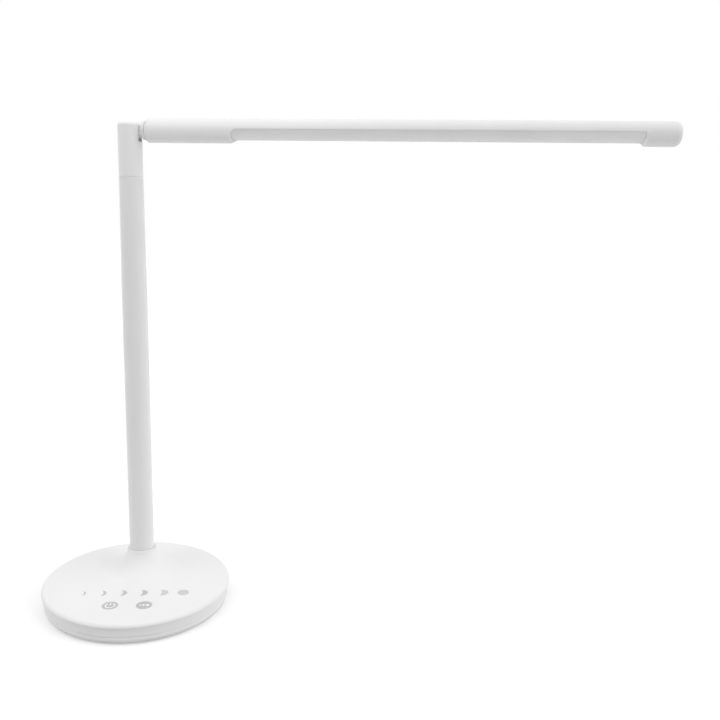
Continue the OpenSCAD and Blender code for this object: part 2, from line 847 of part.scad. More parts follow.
// Cap in the housing's near end, with the bore that turns on the roll shaft
module bar_end_cap() {
    color("white") in_bar() difference() {
        union() {
            along_x(cap_x) cylinder(r1 = flange_r, r2 = bar_r, h = cap_cone);
            along_x(cap_end - eps) cylinder(r = cap_plug_r, h = cap_plug_l + eps);
        }
        along_x(0) cylinder(r = shaft_r + run_gap, h = far);
        stop_groove();
    }
}

// Arc groove in the cap's face for the elbow's nib
module stop_groove() {
    sweep = 2 * roll_travel + nib_angle + 2 * nib_slack;
    along_x(cap_x - eps) rotate([0, 0, -sweep / 2]) rotate_extrude(angle = sweep)
        translate([nib_r0 - 0.3, 0]) square([nib_r1 - nib_r0 + 0.6, nib_h + 0.3]);
}

module bar_housing() {
    color("white") in_bar() difference() {
        along_x(0) rotate_extrude() rounded_profile(bar_r, cap_end, bar_reach, tip_round, eps);
        along_x(cap_end - eps) cylinder(r = bore_r, h = window_x0 - bulkhead_t - cap_end);
        along_x(window_x0 + eps) cylinder(r = bore_r, h = window_x1 - window_x0 - 2 * eps);
        along_x(window_x1 + bulkhead_t) cylinder(r = bore_r, h = bar_reach - tip_wall - window_x1 - bulkhead_t);
        translate([0, 0, ledge_z - far]) linear_extrude(far)
            window_plan(0);
        translate([0, 0, bore_r / 2]) along_x(window_x0 - far / 2) cylinder(r = lead_r, h = far, $fn = 32);
    }
}

// Aluminium profile that fills the upper half of the housing and carries the board
module heat_sink() {
    color("silver") in_bar() along_x(window_x0 + sink_end)
        linear_extrude(window_x1 - window_x0 - 2 * sink_end) rotate(90) difference() {
            circle(r = bore_r - sink_gap);
            translate([-far, -far]) square([2 * far, far + sink_z]);
            for (side = [-1, 1]) intersection() {
                circle(r = bore_r - sink_gap - sink_wall);
                translate([side > 0 ? sink_fin / 2 : -far - sink_fin / 2, sink_z + sink_wall])
                    square([far, far]);
            }
        }
}

module led_board() {
    color("gainsboro") in_bar() translate([window_x0 + sink_end + 2, -board2_w / 2, board2_z])
        cube([window_x1 - window_x0 - 2 * sink_end - 4, board2_w, board2_t]);
}

module leds() {
    step = (window_x1 - window_x0 - 2 * chip_margin) / (chip_count - 1);
    color("khaki") in_bar() for (i = [0 : chip_count - 1])
        translate([window_x0 + chip_margin + i * step - chip[0] / 2, -chip[1] / 2, board2_z - chip[2]]) cube(chip);
}

// Section of the diffuser: crowned face, lips on the housing's edges
module diffuser_section() {
    difference() {
        intersection() {
            circle(r = bar_r - seat_gap);
            translate([-far, ledge_z - far]) square([2 * far, far]);
            translate([0, crown_z]) circle(r = crown_r, $fn = 240);
        }
        intersection() {
            translate([0, crown_z]) circle(r = crown_r - diffuser_t, $fn = 240);
            translate([-lens_inner_y, -far]) square([2 * lens_inner_y, 2 * far]);
        }
    }
}

module diffuser() {
    x0 = window_x0 + lens_slip;
    x1 = window_x1 - lens_slip;
    color("whitesmoke") in_bar() {
        intersection() {
            along_x(x0) linear_extrude(x1 - x0) rotate(90) diffuser_section();
            translate([0, 0, -far]) linear_extrude(2 * far)
                window_plan(-lens_slip);
        }
        for (side = [-1, 1]) translate([x0 + leg_end, side * (lens_inner_y - leg_t / 2) - leg_t / 2, ledge_z - 0.6])
            cube([x1 - x0 - 2 * leg_end, leg_t, board2_z - ledge_z + 0.6]);
    }
}

base_cover();
base_pan();
weight_plate();
rubber_mat();
cover_screws();
moon_window(1);  // moon_window_1
moon_window(2);  // moon_window_2
moon_window(3);  // moon_window_3
moon_window(4);  // moon_window_4
moon_window(5);  // moon_window_5
moon_window(6);  // moon_window_6
key(-1);  // power_key
key(1);  // mode_key
light_guide();
indicator_leds();
key_electrodes();
control_board();
board_screws();
battery_pack();
charge_board();
charge_socket();
swivel_bush();
stem_tube();
stem_spigot();
stop_washer();
spring_washer();
swivel_nut();
stem_head();
hinge_screw();
hinge_cap();
elbow();
hinge_bush();
friction_washers();
roll_washer();
roll_clip();
bar_end_cap();
bar_housing();
heat_sink();
led_board();
leds();
diffuser();
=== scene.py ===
"""Folding desk lamp: finishes for its CAD parts, pieces with finer edges, and the stage."""
import json
import math

import bmesh
import bpy
from mathutils import Matrix, Vector


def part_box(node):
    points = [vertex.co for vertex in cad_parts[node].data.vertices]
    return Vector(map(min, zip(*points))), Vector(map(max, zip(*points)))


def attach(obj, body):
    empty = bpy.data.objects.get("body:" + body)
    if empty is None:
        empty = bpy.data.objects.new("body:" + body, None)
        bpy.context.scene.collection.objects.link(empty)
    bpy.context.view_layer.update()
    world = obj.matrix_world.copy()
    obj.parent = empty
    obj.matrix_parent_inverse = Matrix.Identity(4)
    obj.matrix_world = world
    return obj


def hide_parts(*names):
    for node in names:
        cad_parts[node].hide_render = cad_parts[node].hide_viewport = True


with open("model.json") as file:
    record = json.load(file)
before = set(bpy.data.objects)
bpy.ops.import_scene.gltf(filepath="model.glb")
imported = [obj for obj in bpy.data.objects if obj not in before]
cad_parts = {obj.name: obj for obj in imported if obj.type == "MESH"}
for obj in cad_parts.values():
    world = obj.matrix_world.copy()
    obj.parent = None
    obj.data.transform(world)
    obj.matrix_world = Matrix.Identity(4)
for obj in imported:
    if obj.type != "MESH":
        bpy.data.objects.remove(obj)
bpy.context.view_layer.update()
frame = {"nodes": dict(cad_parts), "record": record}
nodes = frame["nodes"]

MM = 0.001
MICRON = 0.000001


# ---------------------------------------------------------------- node helpers

def feed(tree, socket, value):
    """Links a socket to another one, or sets it to a plain value."""
    if isinstance(value, bpy.types.NodeSocket):
        tree.links.new(value, socket)
    else:
        socket.default_value = value


def add(tree, kind, *values, **named):
    """A new node with its inputs fed in order, or by name, where _ stands for a space."""
    node = tree.nodes.new(kind)
    for socket, value in zip(node.inputs, values):
        feed(tree, socket, value)
    for name, value in named.items():
        feed(tree, node.inputs[name.replace("_", " ")], value)
    return node


def maths(tree, operation, *values):
    """The result of a Math node over sockets or numbers."""
    node = add(tree, "ShaderNodeMath", *values)
    node.operation = operation
    return node.outputs[0]


def measure(tree, operation, *vectors):
    """The number that a Vector Math node gives for its vectors."""
    node = add(tree, "ShaderNodeVectorMath", *vectors)
    node.operation = operation
    return node.outputs["Value"]


# ---------------------------------------------------------------- finishes

# Drift of tone and grain: patches in a metre, and how rough the grain's noise is
DRIFT = 35
GRAIN_NOISE = 0.6

# Copper runs of a circuit board: runs in a metre, the gap and shift between them, their height
RUN_SCALE = 260
RUN_GAP = 0.03
RUN_SHIFT = 0.37
RUN_PROUD = 40 * MICRON

# Opal sheet: its two tones, patches and frosting in a metre, and the light inside it
OPAL_DARK = 238
OPAL_LIGHT = 243
OPAL_DRIFT = 18
OPAL_FROST = 5200
OPAL_INSIDE = 0.15
OPAL_REACH = (2 * MM, 2 * MM, 2 * MM)


def new_material(name):
    """An empty node material with its shader and output, its tree and the shader itself."""
    mat = bpy.data.materials.new(name)
    mat.use_nodes = True
    tree = mat.node_tree
    tree.nodes.clear()
    shader = tree.nodes.new("ShaderNodeBsdfPrincipled")
    add(tree, "ShaderNodeOutputMaterial", Surface=shader.outputs["BSDF"])
    return mat, tree, shader


def object_noise(tree, scale, rough=0.5, stretch=(1, 1, 1)):
    """Noise that is fixed to the piece, with its features about 1/scale metres apart."""
    coord = add(tree, "ShaderNodeTexCoord")
    place = add(tree, "ShaderNodeMapping", Vector=coord.outputs["Object"], Scale=stretch)
    noise = add(tree, "ShaderNodeTexNoise", Vector=place.outputs["Vector"],
                Scale=scale, Detail=2.0, Roughness=rough)
    return noise.outputs["Fac"]


def ramp(tree, fac, *stops):
    """Maps a 0 to 1 value through two (position, colour) stops."""
    node = add(tree, "ShaderNodeValToRGB", Fac=fac)
    for element, (at, colour) in zip(node.color_ramp.elements, stops):
        element.position = at
        element.color = (*colour, 1)
    return node.outputs["Color"]


def spread(tree, fac, low, high):
    """Maps the middle of a noise's range onto low to high."""
    node = add(tree, "ShaderNodeMapRange", Value=fac,
               From_Min=0.3, From_Max=0.7, To_Min=low, To_Max=high)
    return node.outputs["Result"]


def bump(tree, shader, height, depth):
    """Raises the surface by up to depth metres where height is 1."""
    node = add(tree, "ShaderNodeBump", Height=height, Distance=depth)
    feed(tree, shader.inputs["Normal"], node.outputs["Normal"])


def grained(name, colour, vary, rough, grain, depth, metal=0.0, stretch=(1, 1, 1), **extra):
    """A finish with a slow drift of tone, a drift of roughness and a fine grain.

    colour is linear; vary is the share by which it drifts; rough is (low, high); grain is
    the number of grains in a metre, depth their height and stretch their shape.
    """
    mat, tree, shader = new_material(name)
    slow = object_noise(tree, DRIFT)
    dark = tuple(c * (1 - vary) for c in colour)
    feed(tree, shader.inputs["Base Color"], ramp(tree, slow, (0.35, dark), (0.65, colour)))
    fine = object_noise(tree, grain, GRAIN_NOISE, stretch)
    feed(tree, shader.inputs["Roughness"], spread(tree, fine, *rough))
    bump(tree, shader, fine, depth)
    shader.inputs["Metallic"].default_value = metal
    for socket, value in extra.items():
        shader.inputs[socket.replace("_", " ")].default_value = value
    return mat


def grey(level):
    """Linear grey for an sRGB level out of 255."""
    c = level / 255
    c = c / 12.92 if c <= 0.04045 else ((c + 0.055) / 1.055) ** 2.4
    return (c, c, c)


def lacquered(name, level):
    """A smooth printed face under a thin clear coat."""
    return grained(name, grey(level), vary=0.015, rough=(0.28, 0.33), grain=3000,
                   depth=2 * MICRON, Coat_Weight=0.3)


def circuit_finish(name, mask, copper):
    """Solder mask over copper runs, with the runs standing a little proud."""
    mat, tree, shader = new_material(name)
    coord = add(tree, "ShaderNodeTexCoord")
    runs = add(tree, "ShaderNodeTexBrick", Vector=coord.outputs["Object"],
               Scale=RUN_SCALE, Mortar_Size=RUN_GAP)
    runs.offset = RUN_SHIFT
    colour = ramp(tree, runs.outputs["Fac"], (0.3, mask), (0.7, copper))
    feed(tree, shader.inputs["Base Color"], colour)
    bump(tree, shader, runs.outputs["Fac"], RUN_PROUD)
    shader.inputs["Roughness"].default_value = 0.35
    return mat


def opal_finish(name):
    """Opal sheet: soft inside, with a fine frosted face."""
    mat, tree, shader = new_material(name)
    slow = object_noise(tree, OPAL_DRIFT)
    colour = ramp(tree, slow, (0.3, grey(OPAL_DARK)), (0.7, grey(OPAL_LIGHT)))
    feed(tree, shader.inputs["Base Color"], colour)
    fine = object_noise(tree, OPAL_FROST)
    feed(tree, shader.inputs["Roughness"], spread(tree, fine, 0.42, 0.55))
    bump(tree, shader, fine, 12 * MICRON)
    shader.inputs["Subsurface Weight"].default_value = OPAL_INSIDE
    shader.inputs["Subsurface Radius"].default_value = OPAL_REACH
    shader.inputs["Subsurface Scale"].default_value = 0.5
    return mat


moulded = grained("moulded_white", grey(241), vary=0.012, rough=(0.40, 0.52), grain=3800,
                  depth=14 * MICRON)
cast = grained("cast_white", grey(241), vary=0.008, rough=(0.34, 0.44), grain=3400,
               depth=10 * MICRON)
painted = grained("painted_white", grey(237), vary=0.010, rough=(0.30, 0.38), grain=900,
                  depth=10 * MICRON)
opal = opal_finish("opal_white")
window_dark = lacquered("window_grey", 191)
window_pale = lacquered("window_pale_grey", 203)
key_face = lacquered("key_grey", 192)
print_white = grained("printed_white", grey(246), vary=0.01, rough=(0.4, 0.5), grain=3000,
                      depth=3 * MICRON)
clear = grained("clear_acrylic", grey(240), vary=0.01, rough=(0.06, 0.10), grain=500,
                depth=2 * MICRON, Transmission_Weight=0.8, IOR=1.49)
rubber = grained("mat_rubber", (0.015, 0.015, 0.016), vary=0.25, rough=(0.75, 0.9), grain=2600,
                 depth=30 * MICRON)
foam = grained("foam_black", (0.02, 0.02, 0.02), vary=0.4, rough=(0.9, 1.0), grain=1800,
               depth=100 * MICRON)
steel = grained("turned_steel", (0.42, 0.42, 0.43), vary=0.08, rough=(0.22, 0.4), grain=2600,
                depth=6 * MICRON, metal=1.0, stretch=(1, 1, 0.06))
plate = grained("rolled_steel", (0.22, 0.22, 0.23), vary=0.15, rough=(0.35, 0.55), grain=700,
                depth=12 * MICRON, metal=1.0, stretch=(0.05, 1, 1))
brass = grained("turned_brass", (0.60, 0.42, 0.14), vary=0.08, rough=(0.2, 0.35), grain=2400,
                depth=6 * MICRON, metal=1.0, stretch=(1, 1, 0.08))
acetal = grained("natural_acetal", (0.68, 0.66, 0.56), vary=0.03, rough=(0.35, 0.45), grain=2200,
                 depth=10 * MICRON)
friction = grained("friction_fibre", (0.05, 0.05, 0.055), vary=0.4, rough=(0.6, 0.8), grain=3000,
                   depth=30 * MICRON, stretch=(1, 0.2, 1))
extruded = grained("extruded_aluminium", (0.62, 0.62, 0.65), vary=0.05, rough=(0.25, 0.42),
                   grain=2400, depth=8 * MICRON, metal=1.0, stretch=(0.02, 1, 1))
phosphor = grained("led_phosphor", (0.82, 0.62, 0.12), vary=0.1, rough=(0.25, 0.35), grain=4000,
                   depth=10 * MICRON)
wrap = grained("battery_wrap", (0.05, 0.14, 0.30), vary=0.12, rough=(0.2, 0.35), grain=420,
               depth=60 * MICRON)
board_green = circuit_finish("board_green", (0.006, 0.07, 0.018), (0.02, 0.13, 0.04))
board_white = circuit_finish("board_white", (0.78, 0.78, 0.76), (0.62, 0.62, 0.6))

FINISHES = {
    moulded: ["base_cover", "base_pan", "bar_end_cap", "bar_housing"],
    cast: ["stem_head", "hinge_cap", "elbow"],
    painted: ["stem_tube"],
    opal: ["diffuser"],
    window_dark: [f"moon_window_{k}" for k in (1, 2, 3, 4)],
    window_pale: [f"moon_window_{k}" for k in (5, 6)],
    key_face: ["power_key", "mode_key"],
    clear: ["light_guide"],
    rubber: ["rubber_mat"],
    foam: ["key_electrodes"],
    steel: ["cover_screws", "board_screws", "charge_socket", "stem_spigot", "stop_washer",
            "spring_washer", "hinge_screw", "roll_clip"],
    plate: ["weight_plate"],
    brass: ["swivel_nut", "hinge_bush"],
    acetal: ["swivel_bush", "roll_washer"],
    friction: ["friction_washers"],
    extruded: ["heat_sink"],
    phosphor: ["leds", "indicator_leds"],
    wrap: ["battery_pack"],
    board_green: ["control_board", "charge_board"],
    board_white: ["led_board"],
}
for mat, names in FINISHES.items():
    for name in names:
        nodes[name].data.materials.clear()
        nodes[name].data.materials.append(mat)
bare = set(nodes) - {name for names in FINISHES.values() for name in names}
assert not bare, bare


# ---------------------------------------------------------------- shared mesh helpers

# Edges that stay sharp, and the tolerances for vertices that touch and for what lies near
SHARP = math.radians(40)
TOUCH = 0.001 * MM
NEAR = 0.01 * MM


def as_piece(bm, name, finish):
    """Turns a finished bmesh into an object with its finish."""
    mesh = bpy.data.meshes.new(name)
    bm.to_mesh(mesh)
    bm.free()
    mesh.materials.append(finish)
    piece = bpy.data.objects.new(name, mesh)
    bpy.context.scene.collection.objects.link(piece)
    return piece


def fit(piece, body, slot, *replaced):
    """Attaches a finished piece to its body and hides the CAD nodes that it stands for; slot is
    not used.
    """
    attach(piece, body)
    if replaced:
        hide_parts(*replaced)


def apply_modifiers(piece):
    """Turns a piece and its modifiers into a plain mesh."""
    graph = bpy.context.evaluated_depsgraph_get()
    graph.update()
    mesh = bpy.data.meshes.new_from_object(piece.evaluated_get(graph))
    piece.modifiers.clear()
    piece.data = mesh


def soften(piece):
    """Shades a piece smoothly, apart from its sharp edges, with flat faces kept flat."""
    for face in piece.data.polygons:
        face.use_smooth = True
    piece.data.set_sharp_from_angle(angle=SHARP)
    flatten = piece.modifiers.new("flatten", "WEIGHTED_NORMAL")
    flatten.keep_sharp = True
    apply_modifiers(piece)


def quarter_turn(steps):
    """Angles from nothing to a right angle in even steps."""
    return [math.pi / 2 * i / steps for i in range(steps + 1)]


def strip(bm, row, other):
    """Quads between two rows with as many vertices."""
    for (a, b), (c, d) in zip(zip(row, row[1:]), zip(other, other[1:])):
        bm.faces.new((a, b, d, c))


def close_ring(bm, ring, other):
    """Quads between two closed rings."""
    strip(bm, ring + ring[:1], other + other[:1])


def upright_ring(bm, radius, z, angles):
    """A level ring about the base's axis."""
    return [bm.verts.new((radius * math.cos(a), radius * math.sin(a), z)) for a in angles]


# ---------------------------------------------------------------- light bar shell and lens

ROLL = next(j for j in frame["record"]["behaviour"]["joints"] if j["name"] == "roll")
BAR_START = Vector(ROLL["pos_m"])
BAR_AXIS = Vector(ROLL["axis"])
BAR_R = (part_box("bar_housing")[1][2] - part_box("bar_housing")[0][2]) / 2
ROLL_REST = math.radians(26)
BAR_FRONT = BAR_AXIS.cross(Vector((0, 0, 1)))
WINDOW_DOWN = Vector((0, 0, -math.cos(ROLL_REST))) + BAR_FRONT * math.sin(ROLL_REST)
WINDOW_SIDE = BAR_AXIS.cross(WINDOW_DOWN)

# Stations along the bar, from the stem's axis
SHELL_START = 15.16 * MM
SHELL_TIP = 413 * MM
WINDOW_START = 80 * MM
WINDOW_END = 387 * MM

# Shell: its wall, the bevel at the end cap, the tip, and the solid beyond each window end
SHELL_WALL = 1.6 * MM
SEAM_BEVEL = 0.25 * MM
TIP_ROUND = 5 * MM
TIP_WALL = 3 * MM
BULKHEAD = 2.2 * MM

# Window: the height of its edges below the bar's axis, half its width along the shell's
# curve, and its corners as (along the bar, round the bar)
WINDOW_DROP = 3.1 * MM
WINDOW_HALF = BAR_R * math.acos(WINDOW_DROP / BAR_R)
HINGE_CORNER = (4.4 * MM, 7.0 * MM)
TIP_CORNER = (1.8 * MM, 2.6 * MM)

# Rim of the window: its widths, its depth, and a support ring outside it as a share of it
HINGE_RIM = 1.2 * MM
TIP_RIM = 1.7 * MM
SIDE_RIM = 0.5 * MM
RIM_DEPTH = 0.4 * MM
RIM_SUPPORT = 0.15

# Lens: its crown below the axis, how deep its edge lies, its wall and its slip in the rim
LENS_CROWN = 4.8 * MM
LENS_EDGE = 0.5 * MM
LENS_WALL = 1.3 * MM
LENS_SLIP = 0.06 * MM

# Steps of the meshes: rim, corners, along the window, over the bar, window's ends, lens
RIM_STEPS = 4
CORNER_STEPS = 12
LONG_STEPS = 24
OVER_STEPS = 88
END_STEPS = 36
LENS_STEPS = 28


def on_bar(along, round_bar, radius):
    """Point of the bar from its station, its arc from the window's middle and its radius."""
    angle = round_bar / BAR_R
    out = WINDOW_DOWN * math.cos(angle) + WINDOW_SIDE * math.sin(angle)
    return BAR_START + BAR_AXIS * along + out * radius


def window_half(grow):
    """Half of the window's outline, from its hinge end to its tip end, widened by grow rims."""
    (h_along, h_round), (t_along, t_round) = HINGE_CORNER, TIP_CORNER
    first, last = WINDOW_START + h_along, WINDOW_END - t_along
    points = []
    for a in reversed(quarter_turn(CORNER_STEPS)):
        points.append((first - (h_along + grow * HINGE_RIM) * math.sin(a),
                       WINDOW_HALF - h_round + (h_round + grow * SIDE_RIM) * math.cos(a)))
    side = WINDOW_HALF + grow * SIDE_RIM
    for i in range(1, LONG_STEPS):
        points.append((first + (last - first) * i / LONG_STEPS, side))
    for a in quarter_turn(CORNER_STEPS):
        points.append((last + (t_along + grow * TIP_RIM) * math.sin(a),
                       WINDOW_HALF - t_round + (t_round + grow * SIDE_RIM) * math.cos(a)))
    return points


def end_edge(point):
    """Points along a window end, from its far corner to its near one, without the corners."""
    along, half = point
    return [(along, -half + 2 * half * i / END_STEPS) for i in range(1, END_STEPS)]


def lens_radius(round_bar):
    """Distance of the lens's face from the bar's axis, in the direction of an arc position."""
    angle = round_bar / BAR_R
    edge = BAR_R - LENS_EDGE
    rim = WINDOW_HALF / BAR_R
    half, drop = edge * math.sin(rim), edge * math.cos(rim)
    bend = (LENS_CROWN - drop) * (math.sin(angle) / half) ** 2
    down = math.cos(angle)
    if bend < 1e-6:
        return LENS_CROWN / down
    return (-down + math.sqrt(down * down + 4 * bend * LENS_CROWN)) / (2 * bend)


def lens_back(side):
    """Distance of the lens's back from the bar's axis."""
    return lens_radius(side) - LENS_WALL


def shell_skin(bm, grow, radius, deep):
    """One skin of the shell: rows over its open stretch and rings to both ends.

    A deep skin reaches in to the lens's back along the window. Returns the window's loop
    and the rings that end the skin at the cap and at the tip.
    """
    outline = window_half(grow)
    rows = []
    for along, half in outline:
        span = 2 * (math.pi * BAR_R - half)
        row = [bm.verts.new(on_bar(along, half + span * i / OVER_STEPS, radius))
               for i in range(OVER_STEPS + 1)]
        if deep:
            row[0].co = on_bar(along, half, min(radius, lens_back(half)))
            row[-1].co = on_bar(along, -half, min(radius, lens_back(-half)))
        rows.append(row)
    for a, b in zip(rows, rows[1:]):
        strip(bm, a, b)
    rims, rings = [], []
    for row, point in ((rows[0], outline[0]), (rows[-1], outline[-1])):
        rim = [bm.verts.new(on_bar(along, side, lens_back(side) if deep else radius))
               for along, side in end_edge(point)]
        rims.append(rim)
        rings.append(row + rim)
    near = [row[0] for row in rows]
    far = [row[-1] for row in rows]
    loop = near + rims[1][::-1] + far[::-1] + rims[0]
    return loop, rings[0], rings[1]


def ring_like(bm, ring, along, radius):
    """A ring round the bar with its vertices at the same angles as another one."""
    made = []
    for vert in ring:
        spoke = vert.co - BAR_START
        spoke -= BAR_AXIS * spoke.dot(BAR_AXIS)
        made.append(bm.verts.new(BAR_START + BAR_AXIS * along + spoke.normalized() * radius))
    return made


def ring_run(bm, ring, stations):
    """Rings of quads from a ring on through (station, radius) pairs. Returns the last ring."""
    for along, radius in stations:
        new = ring_like(bm, ring, along, radius)
        close_ring(bm, ring, new)
        ring = new
    return ring


def tip_rings(bm, ring, stations):
    """Rings from a ring to the tip, closed by a fan at the axis."""
    ring = ring_run(bm, ring, stations)
    pole = bm.verts.new(BAR_START + BAR_AXIS * stations[-1][0])
    for a, b in zip(ring, ring[1:] + ring[:1]):
        bm.faces.new((a, b, pole))


def bar_shell():
    """The bar's housing: a tube with a rounded tip and a softly bevelled window with deep ends."""
    bm = bmesh.new()
    bore = BAR_R - SHELL_WALL
    loop, cap_ring, tip_ring = shell_skin(bm, 1 + RIM_SUPPORT, BAR_R, False)
    for turn in quarter_turn(RIM_STEPS):
        half = window_half(1 - math.sin(turn))
        depth = RIM_DEPTH * (1 - math.cos(turn))
        other = [(along, -side) for along, side in half[::-1]]
        points = half + end_edge(half[-1])[::-1] + other + end_edge(half[0])
        new = [bm.verts.new(on_bar(along, side, BAR_R - depth)) for along, side in points]
        close_ring(bm, loop, new)
        loop = new
    inner_loop, inner_cap, inner_tip = shell_skin(bm, 0, bore, True)
    close_ring(bm, loop, inner_loop)

    outer = ring_run(bm, cap_ring, [(SHELL_START + SEAM_BEVEL * 2, BAR_R),
                                    (SHELL_START + SEAM_BEVEL, BAR_R),
                                    (SHELL_START, BAR_R - SEAM_BEVEL)])
    inner = ring_run(bm, inner_cap, [(WINDOW_START - BULKHEAD, bore), (SHELL_START, bore)])
    close_ring(bm, outer, inner)

    tip_rings(bm, tip_ring, [(SHELL_TIP - TIP_ROUND + TIP_ROUND * math.sin(a),
                              BAR_R - TIP_ROUND + TIP_ROUND * math.cos(a))
                             for a in quarter_turn(CORNER_STEPS)])
    tip_rings(bm, inner_tip, [(WINDOW_END + BULKHEAD, bore), (SHELL_TIP - TIP_WALL - MM, bore),
                              (SHELL_TIP - TIP_WALL, bore - MM)])
    bmesh.ops.recalc_face_normals(bm, faces=bm.faces)
    piece = as_piece(bm, "bar_shell", moulded)
    soften(piece)
    fit(piece, "light_bar", "arm_white", "bar_housing")


def bar_lens():
    """The long opal lens that fills the window, crowned across, with the window's corners."""
    bm = bmesh.new()
    skins = []
    for depth in (0, LENS_WALL):
        rows = []
        for along, half in window_half(-LENS_SLIP / SIDE_RIM):
            along = min(max(along, WINDOW_START + LENS_SLIP), WINDOW_END - LENS_SLIP)
            arcs = [half - 2 * half * i / LENS_STEPS for i in range(LENS_STEPS + 1)]
            rows.append([bm.verts.new(on_bar(along, a, lens_radius(a) - depth)) for a in arcs])
        for a, b in zip(rows, rows[1:]):
            strip(bm, a, b)
        skins.append(rows)
    outer, inner = skins
    strip(bm, outer[0], inner[0])
    strip(bm, outer[-1], inner[-1])
    for side in (0, -1):
        strip(bm, [row[side] for row in outer], [row[side] for row in inner])
    bmesh.ops.recalc_face_normals(bm, faces=bm.faces)
    piece = as_piece(bm, "bar_lens", opal)
    soften(piece)
    fit(piece, "light_bar", "diffuser_white", "diffuser")


# ---------------------------------------------------------------- base cover and pan

BASE_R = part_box("base_cover")[1][0]
BASE_HEIGHT = 17.5 * MM
SKIRT_R = BASE_R - 1.4 * MM
SEAM_Z = 7.2 * MM
COVER_WALL = 2.4 * MM

# Lip of the cover: its lower edge, its rounding, and the flat ring inside the rounding
LIP_BOTTOM = BASE_HEIGHT - 2.8 * MM
SOFT_LIP = 2.7 * MM
PLATE_RING = 1.4 * MM
LIP_STEPS = 8

# Rim of the collar, as (radius, height) before and after: its proud edge and the neck below
# it, and how near a vertex has to be to belong to them
STEM_AXIS = (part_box("stem_tube")[0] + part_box("stem_tube")[1]) / 2
COLLAR_RIM = [((11.12 * MM, 33.82 * MM), (11.45 * MM, 33.85 * MM)),
              ((11.0 * MM, 33.7 * MM), (11.16 * MM, 33.3 * MM))]
RIM_CATCH = 0.07 * MM

# Pan: how far its wall stands inside the skirt, as (height, inset) in millimetres, how much
# further in a vertex still belongs to the wall, and the height of the pan's floor
PAN_INSET = [(0.8, 3.0), (1.0, 2.5), (1.4, 1.95), (1.8, 1.55), (2.8, 0.8), (3.8, 0.3),
             (4.8, 0.03), (5.5, 0.12), (6.4, 0.5), (7.2, 0.95)]
PAN_MARGIN = 0.1
PAN_FLOOR = 1.9 * MM
CUT_TOUCH = 0.0001 * MM


def node_copy(node):
    """The shape of a CAD node, with its loose triangles merged."""
    source = nodes[node].data
    bm = bmesh.new()
    verts = [bm.verts.new(vert.co) for vert in source.vertices]
    for face in source.polygons:
        bm.faces.new([verts[i] for i in face.vertices])
    bmesh.ops.remove_doubles(bm, verts=bm.verts, dist=TOUCH)
    return bm


def around(vert):
    """Angle of a vertex about the base's axis."""
    return math.atan2(vert.co.y, vert.co.x)


def from_middle(vert):
    """Distance of a vertex from the base's axis."""
    return math.hypot(vert.co.x, vert.co.y)


def from_stem(vert):
    """Distance of a vertex from the stem's axis."""
    return math.hypot(vert.co.x - STEM_AXIS.x, vert.co.y - STEM_AXIS.y)


def fill_collar_rim(bm):
    """Moves the rings of the collar's rim outwards to their fuller places."""
    for vert in bm.verts:
        radius = from_stem(vert)
        for (old_r, old_z), (new_r, new_z) in COLLAR_RIM:
            if abs(radius - old_r) < RIM_CATCH and abs(vert.co.z - old_z) < RIM_CATCH / 2:
                vert.co = STEM_AXIS + (vert.co - STEM_AXIS) * new_r / radius
                vert.co.z = new_z
                break


def on_lip(face):
    """Whether a face belongs to the lip that stands out over the skirt, its top apart."""
    outside = all(from_middle(v) > SKIRT_R - NEAR and v.co.z > LIP_BOTTOM - NEAR
                  for v in face.verts)
    return outside and any(v.co.z < BASE_HEIGHT - TOUCH for v in face.verts)


def base_shell():
    """The base's cover, with a fuller rim on its collar and its lip drawn again in even rings."""
    bm = node_copy("base_cover")
    fill_collar_rim(bm)
    bmesh.ops.delete(bm, geom=[face for face in bm.faces if on_lip(face)], context="FACES")
    edge = {v for e in bm.edges if e.is_boundary for v in e.verts}
    plate = sorted((v for v in edge if v.co.z > BASE_HEIGHT - TOUCH), key=around)
    skirt = sorted((v for v in edge if v.co.z < BASE_HEIGHT - TOUCH), key=around)
    assert len(plate) == len(skirt)
    angles = [around(v) for v in plate]
    profile = [(BASE_R - SOFT_LIP * (1 - math.sin(a)), BASE_HEIGHT - SOFT_LIP * (1 - math.cos(a)))
               for a in quarter_turn(LIP_STEPS)]
    profile.append((BASE_R, LIP_BOTTOM))
    inner = BASE_R - SOFT_LIP - PLATE_RING
    for vert, a in zip(plate, angles):
        vert.co = (inner * math.cos(a), inner * math.sin(a), BASE_HEIGHT)
    ring = plate
    for radius, z in profile:
        new = upright_ring(bm, radius, z, angles)
        close_ring(bm, new, ring)
        ring = new
    close_ring(bm, skirt, ring)
    piece = as_piece(bm, "base_shell", moulded)
    soften(piece)
    fit(piece, "base", "shell_white", "base_cover")


def pan_inset(height):
    """How far the pan's wall stands inside the skirt at a height, both in metres."""
    level = height / MM
    for (low, a), (high, b) in zip(PAN_INSET, PAN_INSET[1:]):
        if level <= high:
            return (a + (b - a) * max(level - low, 0) / (high - low)) * MM
    return PAN_INSET[-1][1] * MM


